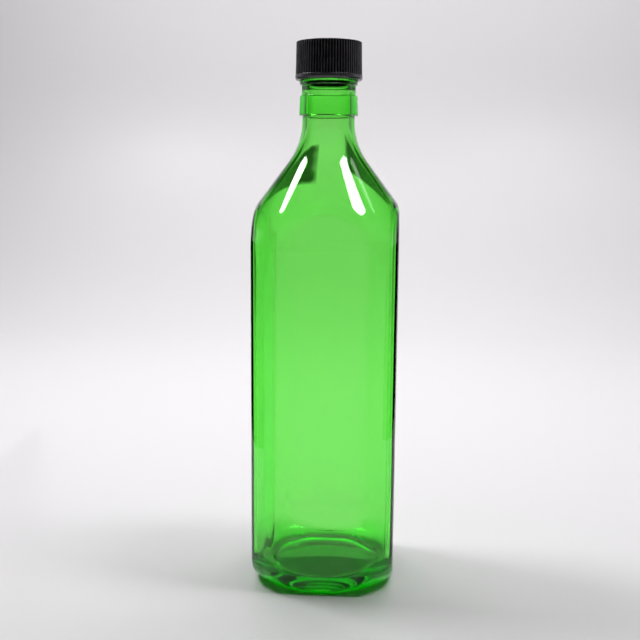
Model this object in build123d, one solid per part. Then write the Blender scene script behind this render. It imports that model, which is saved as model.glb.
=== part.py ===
from build123d import *
import os
from math import acos, atan2, cos, hypot, pi, sin

# Glass oil bottle with a ribbed screw cap, standing on its base.
# Millimetres, +Z up, origin in the middle of the base, flats square to X and Y.

# body
width_over_flats = 70.0
corner_radius = 42.4
flat_edge_round = 6.0
heel_height = 14.5
bearing_outer = 31.5
bearing_inner = 29.5
base_step = 1.2
base_step_width = 2.0
push_up = 3.4

# shoulder and neck
shoulder_start = 166.0
shoulder_round = 30.0
neck_sweep = 32.0
neck_top = 226.4
neck_radius = 12.6
neck_overlap = 4.0

# collar, groove and transfer bead under the finish
collar_bottom = 228.9
collar_top = 238.2
collar_radius_bottom = 14.2
collar_radius_top = 13.85
groove_radius = 13.0
bead_bottom = 243.2
bead_top = 245.0
bead_radius = 13.9
soft_corner_round = 0.4

# screw finish
finish_root = 12.6
lip_top = 260.9
bore_radius = 9.25
lip_round = 0.8
mouth_round = 0.6
thread_pitch = 25.4 / 6
thread_major = 13.75
thread_low = 251.95
thread_turns = 1.5
thread_base_width = 2.4
thread_crest_width = 1.2
thread_embed = 0.3

# both threads
sections_per_turn = 16
run_out_turns = 0.12
end_growth = 0.12

# inside of the glass
wall = 2.8
floor_edge = 7.4
floor_middle = 8.4
inner_heel_round = 12.0
inner_edge_round = 5.0

# cap
cap_bottom = 245.4
cap_top = 263.2
cap_radius_top = 15.6
cap_radius_bottom = 15.9
cap_skirt_inner = 14.0
cap_panel = 1.3
cap_edge_round = 0.5
cap_bead_top = 247.9
cap_bead_radius = 16.1
cap_bead_slope = 0.3
cap_bead_chamfer = 0.45
cap_bead_chamfer_height = 1.0
cap_mouth_chamfer = 0.5
cap_mouth_chamfer_height = 0.8
rib_count = 72
rib_depth = 0.5
rib_gap_outer = 0.78
rib_gap_root = 0.46
rib_gap_flare = 0.1
rib_cut_inside = 0.8
rib_cut_outside = 0.6
cap_thread_crest = 12.9
cap_thread_drop = 1.64
cap_thread_from = 0.1
cap_thread_to = 1.45
cap_thread_base_width = 2.2
cap_thread_crest_width = 0.9
cap_thread_embed = 0.2

# small ridge inside the cap that holds the liner up
retainer_radius = 13.45
retainer_bottom = 259.7
retainer_ramp_top = 260.1
retainer_land_top = 260.4
retainer_top = 260.7

# liner
liner_radius = 13.6
facing_thickness = 0.12


def tangent_points(first, first_radius, second, second_radius):
    """Ends of the line that crosses between a convex round and a hollow round."""
    across = second[0] - first[0]
    up = second[1] - first[1]
    turn = atan2(up, across) - acos((first_radius + second_radius) / hypot(across, up))
    low = (first[0] + first_radius * cos(turn), first[1] + first_radius * sin(turn))
    high = (second[0] - second_radius * cos(turn), second[1] - second_radius * sin(turn))
    return low, high


def point(radius, height):
    return (radius, 0, height)


def arc(start, centre, radius, end):
    """Short arc from start to end about a centre, all as (radius, height)."""
    first = atan2(start[1] - centre[1], start[0] - centre[0])
    last = atan2(end[1] - centre[1], end[0] - centre[0])
    if last - first > pi:
        last -= 2 * pi
    if first - last > pi:
        last += 2 * pi
    half = (first + last) / 2
    middle = (centre[0] + radius * cos(half), centre[1] + radius * sin(half))
    return ThreePointArc(point(*start), point(*middle), point(*end))


def dome(rim, top):
    """Arc from a rim point up to the axis, centred on the axis."""
    rise = top - rim[1]
    radius = (rim[0] ** 2 + rise**2) / (2 * rise)
    return arc(rim, (0, top - radius), radius, (0, top))


def turned(edges):
    """Solid of revolution with its seam at a corner of the square body."""
    return Rot(0, 0, 45) * revolve(make_face(Wire(edges)), Axis.Z)


def thread_section(turns, low, root, crest, base_width, crest_width):
    """One trapezoid across a helical thread, standing upright at its own angle."""
    plane = Plane(
        origin=(0, 0, low + thread_pitch * turns),
        x_dir=(cos(2 * pi * turns), sin(2 * pi * turns), 0),
        z_dir=(sin(2 * pi * turns), -cos(2 * pi * turns), 0),
    )
    corners = [
        (root, -base_width / 2),
        (crest, -crest_width / 2),
        (crest, crest_width / 2),
        (root, base_width / 2),
    ]
    return Wire.make_polygon([plane.from_local_coords(c + (0,)) for c in corners], close=True)


def thread(low, turns_from, turns_to, root, crest, base_width, crest_width):
    """Helical ridge on or in a cylinder, its two ends sinking back to the root."""
    count = round((turns_to - turns_from) * sections_per_turn)
    sections = []
    for step in range(count + 1):
        turns = turns_from + (turns_to - turns_from) * step / count
        from_end = min(turns - turns_from, turns_to - turns)
        grown = end_growth + (1 - end_growth) * min(1.0, from_end / run_out_turns)
        tip = root + (crest - root) * grown
        foot_width = crest_width + (base_width - crest_width) * grown
        tip_width = crest_width * (1 + grown) / 2
        sections.append(thread_section(turns, low, root, tip, foot_width, tip_width))
    return Solid.make_loft(sections)


# glass: outside of the body
shoulder_centre = (corner_radius - shoulder_round, shoulder_start)
sweep_centre = (neck_radius + neck_sweep, neck_top)
cone_low, cone_high = tangent_points(shoulder_centre, shoulder_round, sweep_centre, neck_sweep)
heel_drop = corner_radius - bearing_outer
heel_round = (heel_drop**2 + heel_height**2) / (2 * heel_drop)
heel_centre = (corner_radius - heel_round, heel_height)
step_radius = bearing_inner - base_step_width
body_edges = [
    Line(point(0, neck_top), point(neck_radius, neck_top)),
    arc((neck_radius, neck_top), sweep_centre, neck_sweep, cone_high),
    Line(point(*cone_high), point(*cone_low)),
    arc(cone_low, shoulder_centre, shoulder_round, (corner_radius, shoulder_start)),
    Line(point(corner_radius, shoulder_start), point(corner_radius, heel_height)),
    arc((corner_radius, heel_height), heel_centre, heel_round, (bearing_outer, 0)),
    Line(point(bearing_outer, 0), point(bearing_inner, 0)),
    Line(point(bearing_inner, 0), point(step_radius, base_step)),
    dome((step_radius, base_step), push_up),
    Line(point(0, push_up), point(0, neck_top)),
]
body = turned(body_edges)
body &= Pos(0, 0, neck_top / 2) * Box(width_over_flats, width_over_flats, neck_top)
flats = body.faces().filter_by(GeomType.PLANE).filter_by(lambda f: abs(f.normal_at().Z) < 0.01)
body = fillet(flats.edges(), flat_edge_round)

# glass: neck, collar and screw finish
finish_points = [
    (0, neck_top - neck_overlap),
    (neck_radius, neck_top - neck_overlap),
    (neck_radius, collar_bottom),
    (collar_radius_bottom, collar_bottom),
    (collar_radius_top, collar_top),
    (groove_radius, collar_top),
    (groove_radius, bead_bottom),
    (bead_radius, bead_bottom),
    (bead_radius, bead_top),
    (finish_root, bead_top),
    (finish_root, lip_top),
    (0, lip_top),
]
finish_face = make_face(Polyline([point(*p) for p in finish_points], close=True))
soft_corners = finish_face.vertices().filter_by(
    lambda v: v.X > 1 and v.Z > neck_top and v.Z < lip_top - 0.1
)
finish_face = fillet(soft_corners, soft_corner_round)
lip_corner = finish_face.vertices().filter_by(lambda v: v.X > 1 and v.Z > lip_top - 0.1)
finish_face = fillet(lip_corner, lip_round)
finish = Rot(0, 0, 45) * revolve(finish_face, Axis.Z)
finish_thread = thread(
    thread_low,
    0,
    thread_turns,
    finish_root - thread_embed,
    thread_major,
    thread_base_width + thread_embed,
    thread_crest_width,
)

# glass: the hollow inside
inner_corner = corner_radius - wall
inner_round = shoulder_round - wall
inner_sweep = sweep_centre[0] - bore_radius
inner_low, inner_high = tangent_points(shoulder_centre, inner_round, sweep_centre, inner_sweep)
inner_heel = floor_edge + inner_heel_round
mouth_radius = bore_radius + mouth_round
mouth_centre = (mouth_radius, lip_top - mouth_round)
inner_centre = (inner_corner - inner_heel_round, inner_heel)
cavity_edges = [
    Line(point(0, lip_top + 1), point(mouth_radius, lip_top + 1)),
    Line(point(mouth_radius, lip_top + 1), point(mouth_radius, lip_top)),
    arc((mouth_radius, lip_top), mouth_centre, mouth_round, (bore_radius, mouth_centre[1])),
    Line(point(bore_radius, mouth_centre[1]), point(bore_radius, neck_top)),
    arc((bore_radius, neck_top), sweep_centre, inner_sweep, inner_high),
    Line(point(*inner_high), point(*inner_low)),
    arc(inner_low, shoulder_centre, inner_round, (inner_corner, shoulder_start)),
    Line(point(inner_corner, shoulder_start), point(inner_corner, inner_heel)),
    arc((inner_corner, inner_heel), inner_centre, inner_heel_round, (inner_centre[0], floor_edge)),
    dome((inner_centre[0], floor_edge), floor_middle),
    Line(point(0, floor_middle), point(0, lip_top + 1)),
]
inner_width = width_over_flats - 2 * wall
cavity = turned(cavity_edges)
cavity &= Pos(0, 0, lip_top / 2) * Box(inner_width, inner_width, 2 * lip_top)
inner_flats = cavity.faces().filter_by(GeomType.PLANE)
inner_flats = inner_flats.filter_by(lambda f: abs(f.normal_at().Z) < 0.01)
cavity = fillet(inner_flats.edges(), inner_edge_round)

bottle = body + finish + finish_thread - cavity
bottle.label = "bottle"
bottle.color = Color(0.36, 0.78, 0.28, 0.4)

# cap: shell with a ribbed skirt and its own thread
panel_under = cap_top - cap_panel
cap_points = [
    (0, cap_top),
    (cap_radius_top, cap_top),
    (cap_radius_bottom, cap_bead_top),
    (cap_bead_radius, cap_bead_top - cap_bead_slope),
    (cap_bead_radius, cap_bottom + cap_bead_chamfer_height),
    (cap_bead_radius - cap_bead_chamfer, cap_bottom),
    (cap_skirt_inner + cap_mouth_chamfer, cap_bottom),
    (cap_skirt_inner, cap_bottom + cap_mouth_chamfer_height),
    (cap_skirt_inner, retainer_bottom),
    (retainer_radius, retainer_ramp_top),
    (retainer_radius, retainer_land_top),
    (cap_skirt_inner, retainer_top),
    (cap_skirt_inner, panel_under),
    (0, panel_under),
]
cap_face = make_face(Polyline([point(*p) for p in cap_points], close=True))
cap_corner = cap_face.vertices().filter_by(lambda v: v.X > retainer_radius and v.Z > panel_under)
cap_face = fillet(cap_corner, cap_edge_round)
cap_shell = Rot(0, 0, 180 / rib_count) * revolve(cap_face, Axis.Z)

gap_inner = (cap_radius_top - rib_cut_inside, rib_gap_root / 2)
gap_outer = (cap_bead_radius + rib_cut_outside, rib_gap_outer / 2 + rib_gap_flare)
gap = Polyline(
    [
        (gap_inner[0], -gap_inner[1]),
        (gap_outer[0], -gap_outer[1]),
        gap_outer,
        gap_inner,
    ],
    close=True,
)
gap_height = cap_top + 1 - cap_bead_top
root_cone = Pos(0, 0, cap_bead_top + gap_height / 2) * Cone(
    cap_radius_bottom - rib_depth,
    cap_radius_top - rib_depth,
    gap_height,
)
one_gap = extrude(Pos(0, 0, cap_bead_top) * make_face(gap), gap_height) - root_cone
cap_shell -= PolarLocations(0, rib_count) * one_gap
cap_shell += thread(
    thread_low - cap_thread_drop,
    cap_thread_from,
    cap_thread_to,
    cap_skirt_inner + cap_thread_embed,
    cap_thread_crest,
    cap_thread_base_width,
    cap_thread_crest_width,
)
cap_shell.label = "cap_shell"
cap_shell.color = Color(0.02, 0.02, 0.02)

# liner: a thin facing against the lip, board above it
facing_top = lip_top + facing_thickness
liner_facing = Pos(0, 0, (lip_top + facing_top) / 2) * Cylinder(liner_radius, facing_thickness)
liner_board = Pos(0, 0, (facing_top + panel_under) / 2) * Cylinder(liner_radius, panel_under - facing_top)
liner_facing.label = "liner_facing"
liner_facing.color = Color(0.90, 0.90, 0.88)
liner_board.label = "liner_board"
liner_board.color = Color(0.72, 0.66, 0.54)

os.makedirs("parts", exist_ok=True)
for node in (bottle, cap_shell, liner_board, liner_facing):
    export_step(node, os.path.join("parts", node.label + ".step"))
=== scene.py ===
import math

import bpy
from mathutils import Matrix, Vector, noise


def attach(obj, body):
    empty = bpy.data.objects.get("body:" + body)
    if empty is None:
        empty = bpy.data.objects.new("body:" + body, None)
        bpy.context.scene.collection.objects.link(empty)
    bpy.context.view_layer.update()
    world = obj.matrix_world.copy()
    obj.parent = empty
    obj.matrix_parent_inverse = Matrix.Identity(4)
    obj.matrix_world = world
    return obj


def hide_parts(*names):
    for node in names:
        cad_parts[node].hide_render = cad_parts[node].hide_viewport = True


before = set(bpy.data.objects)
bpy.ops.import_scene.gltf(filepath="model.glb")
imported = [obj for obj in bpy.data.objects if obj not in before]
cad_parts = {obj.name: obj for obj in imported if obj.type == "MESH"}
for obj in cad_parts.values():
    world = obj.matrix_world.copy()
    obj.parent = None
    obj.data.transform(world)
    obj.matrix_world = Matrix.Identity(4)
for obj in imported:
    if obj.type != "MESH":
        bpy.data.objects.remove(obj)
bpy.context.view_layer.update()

mm = 0.001


def deselectAll():
    if bpy.context.object and bpy.context.object.mode != "OBJECT":
        bpy.ops.object.mode_set(mode="OBJECT")
    bpy.ops.object.select_all(action="DESELECT")


def makeActive(piece):
    deselectAll()
    piece.select_set(True)
    bpy.context.view_layer.objects.active = piece


def arcPoints(centre, radius, fromAngle, toAngle, spacing):
    # points along an arc in (radius, height), about one spacing apart, both ends included
    count = max(2, math.ceil(abs(toAngle - fromAngle) * radius / spacing))
    angles = [fromAngle + (toAngle - fromAngle) * i / count for i in range(count + 1)]
    return [(centre[0] + radius * math.cos(a), centre[1] + radius * math.sin(a)) for a in angles]


def linePoints(start, end, spacing):
    count = max(1, math.ceil(math.dist(start, end) / spacing))
    return [
        (start[0] + (end[0] - start[0]) * i / count, start[1] + (end[1] - start[1]) * i / count)
        for i in range(count + 1)
    ]


def roundedPoints(corners, radii, steps):
    # an open outline with its inner corners rounded, by one radius or by one for each
    if not isinstance(radii, (list, tuple)):
        radii = [radii] * (len(corners) - 2)
    outline = [corners[0]]
    for before, corner, after, radius in zip(corners, corners[1:], corners[2:], radii):
        a = Vector(before) - Vector(corner)
        b = Vector(after) - Vector(corner)
        turn = a.angle(b)
        reach = min(radius / math.tan(turn / 2), a.length * 0.49, b.length * 0.49)
        first = Vector(corner) + a.normalized() * reach
        last = Vector(corner) + b.normalized() * reach
        for i in range(steps + 1):
            t = i / steps
            bend = first * (1 - t) ** 2 + Vector(corner) * 2 * t * (1 - t) + last * t ** 2
            outline.append((bend.x, bend.y))
    outline.append(corners[-1])
    return outline


def easedPoints(first, last, steps):
    # from one (radius, height) to another, leaving and arriving upright
    points = []
    for step in range(steps + 1):
        part = step / steps
        eased = (1 - math.cos(math.pi * part)) / 2
        points.append((first[0] + (last[0] - first[0]) * eased, first[1] + (last[1] - first[1]) * part))
    return points


def joinOutline(*stretches):
    outline = []
    for stretch in stretches:
        for point in stretch:
            if not outline or math.dist(point, outline[-1]) > 0.02:
                outline.append(point)
    return outline


def startOutline(name, location):
    # one vertex in edit mode, ready to be extruded
    deselectAll()
    bpy.ops.mesh.primitive_plane_add(size=0.001, location=location)
    piece = bpy.context.object
    piece.name = name
    piece.data.name = name
    bpy.ops.object.transform_apply(location=True, rotation=True, scale=True)
    bpy.ops.object.mode_set(mode="EDIT")
    bpy.ops.mesh.select_all(action="SELECT")
    bpy.ops.mesh.merge(type="CENTER")
    return piece


def spinOutline(name, outside, inside, columns):
    # the outline, outer wall first, is spun round the bottle's axis
    last = outside[0]
    piece = startOutline(name, (last[0] * mm, 0, last[1] * mm))
    for point in (outside + inside)[1:]:
        step = ((point[0] - last[0]) * mm, 0, (point[1] - last[1]) * mm)
        bpy.ops.mesh.extrude_region_move(TRANSFORM_OT_translate={"value": step})
        last = point
    bpy.ops.object.mode_set(mode="OBJECT")
    piece.vertex_groups.new(name="outside").add(list(range(len(outside))), 1.0, "REPLACE")
    bpy.ops.object.mode_set(mode="EDIT")
    bpy.ops.mesh.select_all(action="SELECT")
    bpy.ops.mesh.spin(steps=columns, angle=2 * math.pi, center=(0, 0, 0), axis=(0, 0, 1))
    bpy.ops.mesh.select_all(action="SELECT")
    bpy.ops.mesh.remove_doubles(threshold=0.000004)
    bpy.ops.mesh.normals_make_consistent(inside=False)
    bpy.ops.object.mode_set(mode="OBJECT")
    return piece


def outsideVertices(piece):
    group = piece.vertex_groups["outside"].index
    return [v for v in piece.data.vertices if any(g.group == group for g in v.groups)]


def polar(co):
    return math.hypot(co.x, co.y) / mm, math.atan2(co.y, co.x), co.z / mm


def place(vertex, radius, angle, height):
    vertex.co = (radius * mm * math.cos(angle), radius * mm * math.sin(angle), height * mm)


def smooth(piece, degrees):
    makeActive(piece)
    bpy.ops.object.shade_smooth_by_angle(angle=math.radians(degrees))


def hexColour(text):
    # an sRGB hex colour as linear values
    parts = [int(text[i:i + 2], 16) / 255 for i in (1, 3, 5)]
    linear = [p / 12.92 if p <= 0.04045 else ((p + 0.055) / 1.055) ** 2.4 for p in parts]
    return (*linear, 1)


def addNode(tree, kind, settings={}, inputs={}):
    node = tree.nodes.new(kind)
    for name, value in settings.items():
        setattr(node, name, value)
    for name, value in inputs.items():
        if isinstance(value, bpy.types.NodeSocket):
            tree.links.new(value, node.inputs[name])
        else:
            node.inputs[name].default_value = value
    return node


def newMaterial(name):
    material = bpy.data.materials.new(name)
    material.use_nodes = True
    material.node_tree.nodes.clear()
    return material, material.node_tree


def giveMaterial(piece, material):
    piece.data.materials.clear()
    piece.data.materials.append(material)


# the bottle: soda-lime glass blown in a square mould; sizes in millimetres from the axis and the floor
bottle = {
    "columns": 240,  # faces round the axis
    "flat": 35.0,  # from the axis to each flat
    "corner": 42.4,
    "edgeBlend": 2.8,  # softness of the long edges, outside
    "heel": 14.5,
    "ringOuter": 31.5,  # the narrow ring that the bottle stands on
    "ringInner": 29.5,
    "ringRound": 0.6,
    "baseStep": 1.2,
    "stepWidth": 2.0,
    "pushUp": 3.4,
    "shoulderStart": 166.0,
    "shoulderRound": 30.0,
    "neckSweep": 32.0,
    "neckTop": 226.4,
    "neck": 12.6,
    "collar": (228.9, 238.2, 14.2, 13.85),  # bottom, top, radius at each
    "groove": 13.0,
    "bead": (243.2, 245.0, 13.9),  # bottom, top, radius
    "finishRounds": (0.9, 0.45, 0.9, 1.1, 0.9, 0.6, 0.6, 0.6),  # corners of the collar, groove and bead
    "threadFrom": 247.5,
    "lip": 260.9,
    "lipRound": 0.8,
    "mouthRound": 0.6,
    "bore": 9.25,
    "boreEnd": 247.0,
    "neckBore": 10.1,  # blown a little wider below the finish
    "neckBoreFrom": 239.0,
    "wall": 2.8,
    "floorEdge": 7.4,
    "floorMiddle": 8.4,
    "innerHeel": 12.0,
    "innerBlend": 3.6,  # softness of the long edges, inside
    "wander": 0.09,  # how far the blown inner wall strays
    "wanders": 28,  # per metre, so about 36 mm apart
    "knurls": 60,
    "knurlDepth": 0.08,
    "knurlTop": 0.6,
    "tint": (0.28, 0.968, 0.04, 1),  # how well each colour gets through the glass
    "depth": 340.0,
    "ripples": 45.0,  # per metre: slow waves from the mould, about 22 mm apart
    "rippleHeight": 0.6,
    "dust": 900.0,  # per metre: specks about 1.1 mm apart
    "haze": 0.05,
}

screw = {
    "pitch": 25.4 / 6,
    "low": 251.95,
    "turns": 1.5,
    "root": 12.6,
    "major": 13.75,
    "baseWidth": 2.4,
    "crestWidth": 1.2,
    "runOut": 0.12,  # share of a turn over which each end sinks away
}


def crossingTangent(first, firstRadius, second, secondRadius):
    # ends of the line that crosses from a convex round to a hollow one
    across = second[0] - first[0]
    up = second[1] - first[1]
    turn = math.atan2(up, across) - math.acos((firstRadius + secondRadius) / math.hypot(across, up))
    low = (first[0] + firstRadius * math.cos(turn), first[1] + firstRadius * math.sin(turn))
    high = (second[0] - secondRadius * math.cos(turn), second[1] - secondRadius * math.sin(turn))
    return low, high, turn


def softMin(a, b, blend):
    near = max(blend - abs(a - b), 0) / blend
    return min(a, b) - near ** 3 * blend / 6


def ridge(angle, height, thread, drop=0.0, fromTurn=0.0):
    # 0 at the root and 1 on the crest of a helical thread
    toTurn = thread["turns"]
    most = 0.0
    for lap in range(-1, 3):
        turn = angle / (2 * math.pi) + lap
        if not fromTurn <= turn <= toTurn:
            continue
        off = abs(height - (thread["low"] - drop + thread["pitch"] * turn))
        slope = (thread["baseWidth"] - thread["crestWidth"]) / 2
        rise = min(1.0, max(0.0, (thread["baseWidth"] / 2 - off) / slope))
        end = min(1.0, (turn - fromTurn) / thread["runOut"], (toTurn - turn) / thread["runOut"])
        rise = rise * rise * (3 - 2 * rise)
        end = end * end * (3 - 2 * end)
        most = max(most, rise * end)
    return most


def bottleOutlines():
    b = bottle
    shoulder = (b["corner"] - b["shoulderRound"], b["shoulderStart"])
    sweep = (b["neck"] + b["neckSweep"], b["neckTop"])
    low, high, turn = crossingTangent(shoulder, b["shoulderRound"], sweep, b["neckSweep"])
    drop = b["corner"] - b["ringOuter"]
    heelRound = (drop ** 2 + b["heel"] ** 2) / (2 * drop)
    heelCentre = (b["corner"] - heelRound, b["heel"])
    heelEnd = -math.asin(b["heel"] / heelRound)
    stepRadius = b["ringInner"] - b["stepWidth"]
    rise = b["pushUp"] - b["baseStep"]
    domeRadius = (stepRadius ** 2 + rise ** 2) / (2 * rise)
    domeEnd = math.asin(stepRadius / domeRadius)
    dome = arcPoints((0, b["pushUp"] - domeRadius), domeRadius, math.pi / 2, math.pi / 2 - domeEnd, 1.8)
    heel = arcPoints(heelCentre, heelRound, heelEnd, 0, 1.0)[1:]
    ring = roundedPoints(
        [dome[-1], (b["ringInner"], 0.0), (b["ringOuter"], 0.0), heel[0]], b["ringRound"], 3)
    side = linePoints((b["corner"], b["heel"]), (b["corner"], b["shoulderStart"]), 8.0)
    shoulderArc = arcPoints(shoulder, b["shoulderRound"], 0, turn, 1.0)
    cone = linePoints(low, high, 1.1)
    sweepArc = arcPoints(sweep, b["neckSweep"], math.pi + turn, math.pi, 1.2)
    collarLow, collarHigh, collarWide, collarTop = b["collar"]
    beadLow, beadHigh, beadRadius = b["bead"]
    finish = roundedPoints([
        (b["neck"], b["neckTop"]),
        (b["neck"], collarLow),
        (collarWide, collarLow),
        (collarTop, collarHigh),
        (b["groove"], collarHigh),
        (b["groove"], beadLow),
        (beadRadius, beadLow),
        (beadRadius, beadHigh),
        (screw["root"], beadHigh),
        (screw["root"], b["threadFrom"]),
    ], b["finishRounds"], 5)
    lipEdge = b["lip"] - b["lipRound"]
    threaded = linePoints((screw["root"], b["threadFrom"]), (screw["root"], lipEdge), 0.3)
    lip = arcPoints((screw["root"] - b["lipRound"], lipEdge), b["lipRound"], 0, math.pi / 2, 0.25)
    outside = joinOutline(dome, ring, heel, side, shoulderArc, cone, sweepArc, finish, threaded, lip)

    wall = b["wall"]
    innerCorner = b["corner"] - wall
    innerRound = b["shoulderRound"] - wall
    innerSweep = sweep[0] - b["neckBore"]
    low, high, turn = crossingTangent(shoulder, innerRound, sweep, innerSweep)
    heelTop = b["floorEdge"] + b["innerHeel"]
    heelMiddle = (innerCorner - b["innerHeel"], heelTop)
    floorRise = b["floorMiddle"] - b["floorEdge"]
    floorRadius = (heelMiddle[0] ** 2 + floorRise ** 2) / (2 * floorRise)
    floorEnd = math.asin(heelMiddle[0] / floorRadius)
    mouth = b["lip"] - b["mouthRound"]
    inside = joinOutline(
        arcPoints((b["bore"] + b["mouthRound"], mouth), b["mouthRound"], math.pi / 2, math.pi, 0.25),
        linePoints((b["bore"], mouth), (b["bore"], b["boreEnd"]), 4.0),
        easedPoints((b["bore"], b["boreEnd"]), (b["neckBore"], b["neckBoreFrom"]), 8),
        linePoints((b["neckBore"], b["neckBoreFrom"]), (b["neckBore"], b["neckTop"]), 4.0),
        arcPoints(sweep, innerSweep, math.pi, math.pi + turn, 1.5),
        linePoints(high, low, 1.4),
        arcPoints(shoulder, innerRound, turn, 0, 1.3),
        linePoints((innerCorner, b["shoulderStart"]), (innerCorner, heelTop), 7.0),
        arcPoints(heelMiddle, b["innerHeel"], 0, -math.pi / 2, 1.2),
        arcPoints((0, b["floorMiddle"] - floorRadius), floorRadius, math.pi / 2 - floorEnd, math.pi / 2, 2.4),
    )
    return outside, inside


def makeBottle():
    b = bottle
    outside, inside = bottleOutlines()
    piece = spinOutline("glassBottle", outside, inside, b["columns"])
    shell = set(v.index for v in outsideVertices(piece))
    for vertex in piece.data.vertices:
        radius, angle, height = polar(vertex.co)
        quarter = (angle + math.pi / 4) % (math.pi / 2) - math.pi / 4
        outer = vertex.index in shell
        flat = (b["flat"] if outer else b["flat"] - b["wall"]) / math.cos(quarter)
        blend = b["edgeBlend"] if outer else b["innerBlend"]
        if height < b["neckTop"]:
            radius = softMin(radius, flat, blend)
        if outer and height > b["bead"][1] + 1:
            radius += (screw["major"] - screw["root"]) * ridge(angle % (2 * math.pi), height, screw)
        if outer and height < b["knurlTop"] and b["ringInner"] - 1 < radius < b["ringOuter"] + 2:
            height += b["knurlDepth"] * (0.5 - 0.5 * math.cos(b["knurls"] * angle))
        if not outer and b["innerHeel"] < height < b["neckTop"]:
            radius += b["wander"] * noise.noise(vertex.co * b["wanders"])
        place(vertex, radius, angle, height)
    smooth(piece, 60)
    piece.vertex_groups.clear()
    return piece


def glassMaterial():
    # clear green soda-lime glass: fire-polished outside, colour only from its depth
    b = bottle
    material, tree = newMaterial("greenSodaLimeGlass")
    coords = addNode(tree, "ShaderNodeTexCoord")
    waves = addNode(tree, "ShaderNodeTexNoise", {}, {
        "Vector": coords.outputs["Object"], "Scale": b["ripples"], "Detail": 1.5, "Roughness": 0.4})
    ripple = addNode(tree, "ShaderNodeBump", {}, {
        "Height": waves.outputs["Fac"], "Strength": 0.05, "Distance": b["rippleHeight"] * mm})
    dust = addNode(tree, "ShaderNodeTexNoise", {}, {
        "Vector": coords.outputs["Object"], "Scale": b["dust"], "Detail": 4.0, "Roughness": 0.6})
    haze = addNode(tree, "ShaderNodeMapRange", {}, {
        "Value": dust.outputs["Fac"], "From Min": 0.55, "From Max": 0.8,
        "To Min": 0.0, "To Max": b["haze"]})
    shader = addNode(tree, "ShaderNodeBsdfPrincipled", {}, {
        "Base Color": (0.93, 1.0, 0.93, 1),
        "Roughness": haze.outputs["Result"],
        "IOR": 1.52,
        "Transmission Weight": 1.0,
        "Normal": ripple.outputs["Normal"]})
    depth = addNode(tree, "ShaderNodeVolumeAbsorption", {}, {
        "Color": b["tint"], "Density": b["depth"]})
    addNode(tree, "ShaderNodeOutputMaterial", {}, {
        "Surface": shader.outputs["BSDF"], "Volume": depth.outputs["Volume"]})
    return material


# the cap: black polypropylene, injection moulded
cap = {
    "bottom": 245.4,
    "top": 263.2,
    "radiusTop": 15.6,
    "radiusBottom": 15.9,
    "beadTop": 247.9,
    "beadRadius": 16.1,
    "skirt": 14.0,  # inner radius
    "panel": 1.3,
    "edgeRound": 0.35,
    "ribs": 72,
    "ribDepth": 0.55,
    "ribShape": (0.12, 0.0, 0.0, 0.12, 0.7, 1.0, 1.0, 0.7),  # depth across one rib and its gap
    "threadCrest": 12.9,
    "threadDrop": 1.64,
    "threadFrom": 0.1,
    "threadTo": 1.45,
    "threadTop": 259.5,
    "retainer": (13.45, 259.6, 260.1, 260.4, 260.7),  # radius, then foot, ramp end, land end, top
    "recess": 0.18,
    "recessEdge": (12.6, 13.2),
    "grain": 3500.0,  # per metre: mould grain about 0.3 mm apart
    "grainHeight": 0.04,
    "scuffs": 260.0,  # per metre: rubbed patches about 4 mm apart
    # rib colours: the grooves near black as painted shade, the crests paler as painted highlight with a
    # little rubbing wear
    "groove": "#060607",
    "crest": "#5c5a5e",
}

capScrew = dict(screw, baseWidth=2.0, crestWidth=0.9, turns=cap["threadTo"])


def capSlope():
    # how much the ribbed skirt widens for each millimetre down
    return (cap["radiusBottom"] - cap["radiusTop"]) / (cap["top"] - cap["beadTop"])


def makeCap():
    c = cap
    under = c["top"] - c["panel"]
    ribTop = (c["radiusTop"] + 0.03, c["top"] - 1.6)
    topFace = roundedPoints([
        (0.0, c["top"] - c["recess"]),
        (c["recessEdge"][0], c["top"] - c["recess"]),
        (c["recessEdge"][1], c["top"]),
        (c["radiusTop"], c["top"]),
        ribTop,
    ], c["edgeRound"], 4)
    topFace = joinOutline(linePoints(topFace[0], topFace[1], 3.0), topFace[1:])
    side = linePoints(ribTop, (c["radiusBottom"], c["beadTop"] + 0.6), 2.5)
    bead = roundedPoints([
        (c["radiusBottom"], c["beadTop"] + 0.6),
        (c["radiusBottom"] + 0.01, c["beadTop"] + 0.1),
        (c["beadRadius"], c["beadTop"] - 0.25),
        (c["beadRadius"], c["bottom"] + 1.0),
        (c["beadRadius"] - 0.45, c["bottom"]),
        (c["skirt"] + 0.5, c["bottom"]),
    ], c["edgeRound"], 3)
    outside = joinOutline(topFace, side, bead)
    holder, foot, rampEnd, landEnd, holderTop = c["retainer"]
    inside = joinOutline(
        [(c["skirt"] + 0.3, c["bottom"] + 0.1), (c["skirt"], c["bottom"] + 0.8)],
        linePoints((c["skirt"], c["bottom"] + 0.8), (c["skirt"], foot), 0.28),
        roundedPoints([
            (c["skirt"], foot), (holder, rampEnd), (holder, landEnd), (c["skirt"], holderTop),
            (c["skirt"], under), (0.0, under)], 0.12, 2),
    )
    piece = spinOutline("screwCap", outside, inside, c["ribs"] * len(c["ribShape"]))
    shell = set(v.index for v in outsideVertices(piece))
    pace = len(c["ribShape"])
    for vertex in piece.data.vertices:
        radius, angle, height = polar(vertex.co)
        if vertex.index in shell:
            if height > c["beadTop"] and radius > c["radiusTop"] - 0.8:
                column = round(angle / (2 * math.pi) * c["ribs"] * pace)
                crest = c["radiusTop"] + capSlope() * (c["top"] - height)
                deep = c["ribDepth"] * c["ribShape"][column % pace]
                radius = min(radius, crest - deep)
        elif c["bottom"] + 0.9 < height < c["threadTop"]:
            reach = ridge(angle % (2 * math.pi), height, capScrew, c["threadDrop"], c["threadFrom"])
            radius -= (c["skirt"] - c["threadCrest"]) * reach
        place(vertex, radius, angle, height)
    smooth(piece, 38)
    piece.vertex_groups.clear()
    return piece


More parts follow.
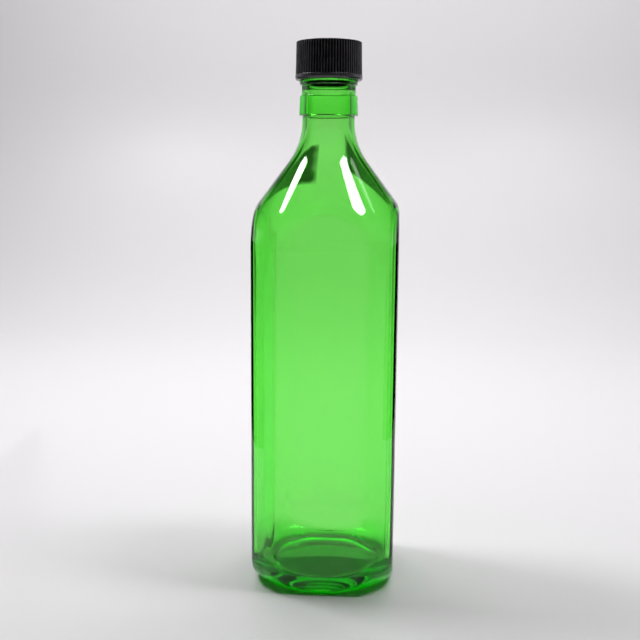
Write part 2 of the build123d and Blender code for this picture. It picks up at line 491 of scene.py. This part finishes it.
def capMaterial():
    # moulded polypropylene: satin black, fine spark-eroded mould grain; rib crests painted paler, partly
    # rubbing wear and partly painted highlight, and the grooves between them painted near black as painted
    # shade
    c = cap
    material, tree = newMaterial("blackPolypropylene")
    coords = addNode(tree, "ShaderNodeTexCoord")
    grain = addNode(tree, "ShaderNodeTexNoise", {}, {
        "Vector": coords.outputs["Object"], "Scale": c["grain"], "Detail": 3.0, "Roughness": 0.6})
    scuffs = addNode(tree, "ShaderNodeTexNoise", {}, {
        "Vector": coords.outputs["Object"], "Scale": c["scuffs"], "Detail": 5.0, "Roughness": 0.65})
    # distance from the axis with the skirt's taper taken out, so one value stands for every crest
    spot = addNode(tree, "ShaderNodeSeparateXYZ", {}, {0: coords.outputs["Object"]})
    level = addNode(tree, "ShaderNodeCombineXYZ", {}, {"X": spot.outputs["X"], "Y": spot.outputs["Y"]})
    radius = addNode(tree, "ShaderNodeVectorMath", {"operation": "LENGTH"}, {0: level.outputs["Vector"]})
    upright = addNode(tree, "ShaderNodeMath", {"operation": "MULTIPLY_ADD"}, {
        0: spot.outputs["Z"], 1: capSlope(), 2: radius.outputs["Value"]})
    crest = (c["radiusTop"] + capSlope() * c["top"]) * mm
    # mask of the rib crests: crests get the paler colour (painted highlight mixed with rubbing wear), grooves
    # the near-black one (painted shade)
    crestWearAndPaintedHighlight = addNode(tree, "ShaderNodeMapRange", {}, {
        "Value": upright.outputs["Value"], "From Min": crest - 0.8 * c["ribDepth"] * mm,
        "From Max": crest - 0.04 * mm})
    wearAndPaintedHighlight = addNode(tree, "ShaderNodeMath", {"operation": "MULTIPLY"}, {
        0: crestWearAndPaintedHighlight.outputs["Result"], 1: scuffs.outputs["Fac"]})
    colour = addNode(tree, "ShaderNodeMix", {"data_type": "RGBA"}, {
        "Factor": wearAndPaintedHighlight.outputs["Value"], 6: hexColour(c["groove"]), 7: hexColour(c["crest"])})
    sheen = addNode(tree, "ShaderNodeMapRange", {}, {
        "Value": scuffs.outputs["Fac"], "From Min": 0.3, "From Max": 0.75, "To Min": 0.17, "To Max": 0.28})
    bump = addNode(tree, "ShaderNodeBump", {}, {
        "Height": grain.outputs["Fac"], "Strength": 0.35, "Distance": c["grainHeight"] * mm})
    shader = addNode(tree, "ShaderNodeBsdfPrincipled", {}, {
        "Base Color": colour.outputs[2],
        "Roughness": sheen.outputs["Result"],
        "IOR": 1.49,
        "Specular IOR Level": 0.7,
        "Normal": bump.outputs["Normal"]})
    addNode(tree, "ShaderNodeOutputMaterial", {}, {"Surface": shader.outputs["BSDF"]})
    return material


# the liner: a pulpboard wad with a plastic facing
liner = {
    "radius": 13.6,
    "bottom": 260.9,
    "facing": 0.12,
    "top": 261.9,
    "edgeRound": 0.12,
    "ragged": 0.05,  # unevenness of the punched edge
    "nicks": 900,  # per metre, so about 1.1 mm apart
    "pressed": 0.05,  # depth of the ring that the lip leaves in the facing
    "pressedRing": (9.4, 10.0, 11.7, 12.3),
    "fibres": 1400.0,  # per metre, so about 0.7 mm apart
    "fibreHeight": 0.08,
    "marks": 420.0,  # per metre: rubbed patches about 2.4 mm apart
}


def makeLinerBoard():
    n = liner
    low = n["bottom"] + n["facing"]
    outline = roundedPoints(
        [(0.0, n["top"]), (n["radius"], n["top"]), (n["radius"], low), (0.0, low)], n["edgeRound"], 3)
    piece = spinOutline("linerBoard", outline[:-1], outline[-1:], 144)
    for vertex in piece.data.vertices:
        radius, angle, height = polar(vertex.co)
        if radius > n["radius"] - 0.2:
            radius -= n["ragged"] * (0.5 + 0.5 * noise.noise(vertex.co * n["nicks"]))
        place(vertex, radius, angle, height)
    smooth(piece, 50)
    piece.vertex_groups.clear()
    return piece


def makeLinerFacing():
    n = liner
    high = n["bottom"] + n["facing"]
    dent = n["bottom"] + n["pressed"]
    edge = n["radius"] - 0.02
    ringIn, dentIn, dentOut, ringOut = n["pressedRing"]
    outline = roundedPoints([
        (0.0, high),
        (edge, high),
        (edge, n["bottom"]),
        (ringOut, n["bottom"]),
        (dentOut, dent),
        (dentIn, dent),
        (ringIn, n["bottom"]),
        (0.0, n["bottom"]),
    ], 0.05, 2)
    piece = spinOutline("linerFacing", outline[:-1], outline[-1:], 144)
    smooth(piece, 50)
    piece.vertex_groups.clear()
    return piece


def boardMaterial():
    # grey-brown pulpboard: short felted fibres, quite matt
    material, tree = newMaterial("pulpBoard")
    coords = addNode(tree, "ShaderNodeTexCoord")
    stretch = addNode(tree, "ShaderNodeMapping", {}, {
        "Vector": coords.outputs["Object"], "Scale": (1.0, 3.0, 1.0), "Rotation": (0, 0, 0.5)})
    fibres = addNode(tree, "ShaderNodeTexNoise", {}, {
        "Vector": stretch.outputs["Vector"], "Scale": liner["fibres"], "Detail": 6.0, "Roughness": 0.7})
    colour = addNode(tree, "ShaderNodeMix", {"data_type": "RGBA"}, {
        "Factor": fibres.outputs["Fac"], 6: hexColour("#a08a68"), 7: hexColour("#d2c3a3")})
    bump = addNode(tree, "ShaderNodeBump", {}, {
        "Height": fibres.outputs["Fac"], "Strength": 0.5, "Distance": liner["fibreHeight"] * mm})
    shader = addNode(tree, "ShaderNodeBsdfPrincipled", {}, {
        "Base Color": colour.outputs[2], "Roughness": 0.9, "Normal": bump.outputs["Normal"]})
    addNode(tree, "ShaderNodeOutputMaterial", {}, {"Surface": shader.outputs["BSDF"]})
    return material


def filmMaterial():
    # polyester film over the wad: smooth, white, with faint rubbing from the lip
    material, tree = newMaterial("polyesterFilm")
    coords = addNode(tree, "ShaderNodeTexCoord")
    marks = addNode(tree, "ShaderNodeTexNoise", {}, {
        "Vector": coords.outputs["Object"], "Scale": liner["marks"], "Detail": 5.0, "Roughness": 0.6})
    colour = addNode(tree, "ShaderNodeMix", {"data_type": "RGBA"}, {
        "Factor": marks.outputs["Fac"], 6: hexColour("#e9e8e2"), 7: hexColour("#d6d3c8")})
    gloss = addNode(tree, "ShaderNodeMapRange", {}, {
        "Value": marks.outputs["Fac"], "From Min": 0.3, "From Max": 0.7, "To Min": 0.18, "To Max": 0.36})
    shader = addNode(tree, "ShaderNodeBsdfPrincipled", {}, {
        "Base Color": colour.outputs[2], "Roughness": gloss.outputs["Result"], "IOR": 1.58})
    addNode(tree, "ShaderNodeOutputMaterial", {}, {"Surface": shader.outputs["BSDF"]})
    return material


print("making the glass")
glassBottle = makeBottle()
giveMaterial(glassBottle, glassMaterial())
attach(glassBottle, "bottle")
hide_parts("bottle")

print("making the cap")
screwCap = makeCap()
giveMaterial(screwCap, capMaterial())
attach(screwCap, "cap")
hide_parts("cap_shell")

print("making the liner")
linerBoard = makeLinerBoard()
giveMaterial(linerBoard, boardMaterial())
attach(linerBoard, "liner")
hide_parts("liner_board")
linerFacing = makeLinerFacing()
giveMaterial(linerFacing, filmMaterial())
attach(linerFacing, "liner")
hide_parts("liner_facing")


# the camera, in metres and degrees; the shoulder cards face it
camera = {
    "azimuth": 3.9,
    "distance": 0.466,
    "height": 0.2028,
    "down": 8.95,
    "left": 0.417,
    "roll": 0.43,
    "lens": 53.3,
    "sensor": 36,
    "nearest": 0.01,
}

# the studio, in metres
studio = {
    "floorColour": "#e6e4e6",
    "tooth": 500.0,  # per metre: paper tooth about 2 mm apart
    "sweepFront": -2.0,
    "sweepStart": 0.62,  # behind the bottle, where the paper starts to rise
    "sweepRound": 0.35,
    "height": 0.46,
    "width": 3.0,
    "wallColour": "#dcdcdf",
    "ceilingColour": "#1e1e20",
    "skyColour": "#e4e2e5",
    "dimAbove": (0.23, 0.33),  # upward part of a direction, where wall turns to dark ceiling
    "dimBefore": (0.3, 0.0),  # backward part, where it turns to the dark front
}


def makeSweep():
    # one pale paper sheet: floor, soft curve, wall
    s = studio
    sweep = startOutline("paperSweep", (0, s["sweepFront"], 0))
    path = joinOutline(
        [(s["sweepFront"], 0.0), (s["sweepStart"], 0.0)],
        arcPoints((s["sweepStart"], s["sweepRound"]), s["sweepRound"], -math.pi / 2, 0, 0.02),
        [(s["sweepStart"] + s["sweepRound"], s["height"])],
    )
    for before, after in zip(path, path[1:]):
        step = (0, after[0] - before[0], after[1] - before[1])
        bpy.ops.mesh.extrude_region_move(TRANSFORM_OT_translate={"value": step})
    bpy.ops.mesh.select_all(action="SELECT")
    bpy.ops.transform.translate(value=(-s["width"] / 2, 0, 0))
    bpy.ops.mesh.extrude_region_move(TRANSFORM_OT_translate={"value": (s["width"], 0, 0)})
    bpy.ops.mesh.select_all(action="SELECT")
    bpy.ops.mesh.normals_make_consistent(inside=False)
    bpy.ops.object.mode_set(mode="OBJECT")
    bpy.ops.object.shade_smooth()
    material, tree = newMaterial("studioPaper")
    coords = addNode(tree, "ShaderNodeTexCoord")
    tooth = addNode(tree, "ShaderNodeTexNoise", {}, {
        "Vector": coords.outputs["Object"], "Scale": s["tooth"], "Detail": 3.0})
    gloss = addNode(tree, "ShaderNodeMapRange", {}, {
        "Value": tooth.outputs["Fac"], "To Min": 0.3, "To Max": 0.42})
    shader = addNode(tree, "ShaderNodeBsdfPrincipled", {}, {
        "Base Color": hexColour(s["floorColour"]), "Roughness": gloss.outputs["Result"],
        "Specular IOR Level": 0.35})
    addNode(tree, "ShaderNodeOutputMaterial", {}, {"Surface": shader.outputs["BSDF"]})
    giveMaterial(sweep, material)


# each lamp: where it hangs, where it points, width and length in metres, watts
softboxes = {
    "leftBox": ((-0.53, 0.15, 0.91), (0, 0, 0.2), (0.26, 0.24), 4.2),
    "rightBox": ((0.40, -0.06, 1.0), (0, 0, 0.2), (0.19, 0.32), 3.4),
    "wallWash": ((0, 0.3, 1.1), (0, 0.9, 0.15), (1.6, 0.3), 4.8),
    "backFill": ((0, 0.64, 0.86), (0, 0, 0), (1.2, 0.5), 5.0),
}


def addSoftbox(name):
    location, target, size, power = softboxes[name]
    deselectAll()
    bpy.ops.object.light_add(type="AREA", location=location)
    light = bpy.context.object
    light.name = name
    light.data.shape = "RECTANGLE"
    light.data.size, light.data.size_y = size
    light.data.energy = power
    light.rotation_euler = (Vector(target) - Vector(location)).to_track_quat("-Z", "Y").to_euler()
    return light


# black cards, in metres
flags = {
    "felt": (0.004, 0.004, 0.004, 1),
    "behind": 0.05,  # how far behind the axis the shoulder cards stand
    "black": 0.97,
    "feather": 0.12,
    "feathers": 170.0,  # per metre, so about 6 mm apart
    "fade": (0.46, 0.64),  # where the card starts and stops to thin out, as a share of its width
    "sideFrom": -0.05,
    "sideTo": 0.26,
    "sideTop": 0.185,
    "gap": 0.01,  # between the floor and the side cards
    "leftSide": -0.25,
    "rightSide": 0.28,
    "leftShoulder": (-0.031, 0.2058, (0.048, 0.021), 0.0),  # across, height, size, tilt in degrees
    "rightShoulder": (0.034, 0.2060, (0.043, 0.021), 20),
}


def hideFlag(card, reflected):
    # a card is either reflected by the glass or seen through it, never looked at directly
    card.visible_camera = False
    card.visible_shadow = False
    card.visible_diffuse = False
    card.visible_glossy = reflected
    card.visible_transmission = not reflected


def addSideFlag(name, across):
    # low black card beside the bottle: its reflection draws the dark outline of the body
    f = flags
    deselectAll()
    bpy.ops.mesh.primitive_plane_add(
        size=1, location=(across, (f["sideFrom"] + f["sideTo"]) / 2, f["sideTop"] / 2),
        rotation=(math.pi / 2, 0, math.pi / 2))
    card = bpy.context.object
    card.name = name
    card.scale = (f["sideTo"] - f["sideFrom"], f["sideTop"] - f["gap"], 1)
    bpy.ops.object.transform_apply(location=False, rotation=False, scale=True)
    material, tree = newMaterial(name + "Felt")
    felt = addNode(tree, "ShaderNodeBsdfDiffuse", {}, {"Color": f["felt"]})
    addNode(tree, "ShaderNodeOutputMaterial", {}, {"Surface": felt.outputs["BSDF"]})
    giveMaterial(card, material)
    hideFlag(card, True)


def addShoulderFlag(name, across, height, size, tilt):
    # black card close behind the bottle, seen only through its glass, with a soft uneven edge
    f = flags
    turn = math.radians(camera["azimuth"])
    x = across * math.cos(turn) - f["behind"] * math.sin(turn)
    y = across * math.sin(turn) + f["behind"] * math.cos(turn)
    deselectAll()
    bpy.ops.mesh.primitive_plane_add(
        size=1, location=(x, y, height), rotation=(math.pi / 2, math.radians(tilt), turn))
    card = bpy.context.object
    card.name = name
    card.scale = (size[0], size[1], 1)
    bpy.ops.object.transform_apply(location=False, rotation=False, scale=True)
    material, tree = newMaterial(name + "Felt")
    coords = addNode(tree, "ShaderNodeTexCoord")
    ragged = addNode(tree, "ShaderNodeTexNoise", {}, {
        "Vector": coords.outputs["Object"], "Scale": f["feathers"], "Detail": 0.0})
    spot = addNode(tree, "ShaderNodeSeparateXYZ", {}, {0: coords.outputs["Generated"]})
    fades = []
    for axis in ("X", "Y"):
        offset = addNode(tree, "ShaderNodeMath", {"operation": "SUBTRACT"}, {0: spot.outputs[axis], 1: 0.5})
        reach = addNode(tree, "ShaderNodeMath", {"operation": "ABSOLUTE"}, {0: offset.outputs["Value"]})
        uneven = addNode(tree, "ShaderNodeMath", {"operation": "MULTIPLY_ADD"}, {
            0: ragged.outputs["Fac"], 1: f["feather"], 2: reach.outputs["Value"]})
        fades.append(addNode(tree, "ShaderNodeMapRange", {"interpolation_type": "SMOOTHSTEP"}, {
            "Value": uneven.outputs["Value"], "From Min": f["fade"][0], "From Max": f["fade"][1],
            "To Min": 1.0, "To Max": 0.0}))
    shape = addNode(tree, "ShaderNodeMath", {"operation": "MULTIPLY"}, {
        0: fades[0].outputs["Result"], 1: fades[1].outputs["Result"]})
    cover = addNode(tree, "ShaderNodeMath", {"operation": "MULTIPLY"}, {
        0: shape.outputs["Value"], 1: f["black"]})
    clear = addNode(tree, "ShaderNodeBsdfTransparent")
    felt = addNode(tree, "ShaderNodeBsdfDiffuse", {}, {"Color": f["felt"]})
    mixed = addNode(tree, "ShaderNodeMixShader", {}, {
        0: cover.outputs["Value"], 1: clear.outputs["BSDF"], 2: felt.outputs["BSDF"]})
    addNode(tree, "ShaderNodeOutputMaterial", {}, {"Surface": mixed.outputs["Shader"]})
    giveMaterial(card, material)
    hideFlag(card, False)


print("setting the studio")
makeSweep()
addSoftbox("leftBox")
addSoftbox("rightBox")
addSoftbox("wallWash")
addShoulderFlag("leftShoulderFlag", *flags["leftShoulder"])
addShoulderFlag("rightShoulderFlag", *flags["rightShoulder"])
addSideFlag("leftSideFlag", flags["leftSide"])
addSideFlag("rightSideFlag", flags["rightSide"])
backFill = addSoftbox("backFill")
backFill.visible_glossy = False
backFill.visible_transmission = False


def makeWorld():
    # a dim room, pale low down at the back; looked at directly it is pale all over
    s = studio
    world = bpy.data.worlds.new("dimStudio")
    bpy.context.scene.world = world
    world.use_nodes = True
    tree = world.node_tree
    tree.nodes.clear()
    coords = addNode(tree, "ShaderNodeTexCoord")
    parts = addNode(tree, "ShaderNodeSeparateXYZ", {}, {0: coords.outputs["Generated"]})
    above = addNode(tree, "ShaderNodeMapRange", {"interpolation_type": "SMOOTHSTEP"}, {
        "Value": parts.outputs["Z"], "From Min": s["dimAbove"][0], "From Max": s["dimAbove"][1]})
    before = addNode(tree, "ShaderNodeMapRange", {"interpolation_type": "SMOOTHSTEP"}, {
        "Value": parts.outputs["Y"], "From Min": s["dimBefore"][0], "From Max": s["dimBefore"][1]})
    dim = addNode(tree, "ShaderNodeMath", {"operation": "MAXIMUM"}, {
        0: above.outputs["Result"], 1: before.outputs["Result"]})
    room = addNode(tree, "ShaderNodeMix", {"data_type": "RGBA"}, {
        "Factor": dim.outputs["Value"], 6: hexColour(s["wallColour"]), 7: hexColour(s["ceilingColour"])})
    rays = addNode(tree, "ShaderNodeLightPath")
    seen = addNode(tree, "ShaderNodeMix", {"data_type": "RGBA"}, {
        "Factor": rays.outputs["Is Camera Ray"], 6: room.outputs[2], 7: hexColour(s["skyColour"])})
    glow = addNode(tree, "ShaderNodeBackground", {}, {"Color": seen.outputs[2], "Strength": 1.0})
    addNode(tree, "ShaderNodeOutputWorld", {}, {"Surface": glow.outputs["Background"]})


def makeCamera():
    c = camera
    turn = math.radians(c["azimuth"])
    spot = (c["distance"] * math.sin(turn), -c["distance"] * math.cos(turn), c["height"])
    deselectAll()
    bpy.ops.object.camera_add(location=spot)
    eye = bpy.context.object
    eye.name = "mainCamera"
    eye.data.lens = c["lens"]
    eye.data.sensor_width = c["sensor"]
    eye.data.clip_start = c["nearest"]
    eye.data.dof.use_dof = False
    aim = Matrix.Rotation(turn + math.radians(c["left"]), 4, "Z")
    aim @= Matrix.Rotation(math.radians(90 - c["down"]), 4, "X")
    aim @= Matrix.Rotation(math.radians(c["roll"]), 4, "Z")
    eye.rotation_euler = aim.to_euler()
    bpy.context.scene.camera = eye


print("setting the world and the camera")
makeWorld()
makeCamera()
scene = bpy.context.scene
scene.view_settings.view_transform = "Standard"
scene.cycles.max_bounces = 24
scene.cycles.transmission_bounces = 24
scene.cycles.glossy_bounces = 8
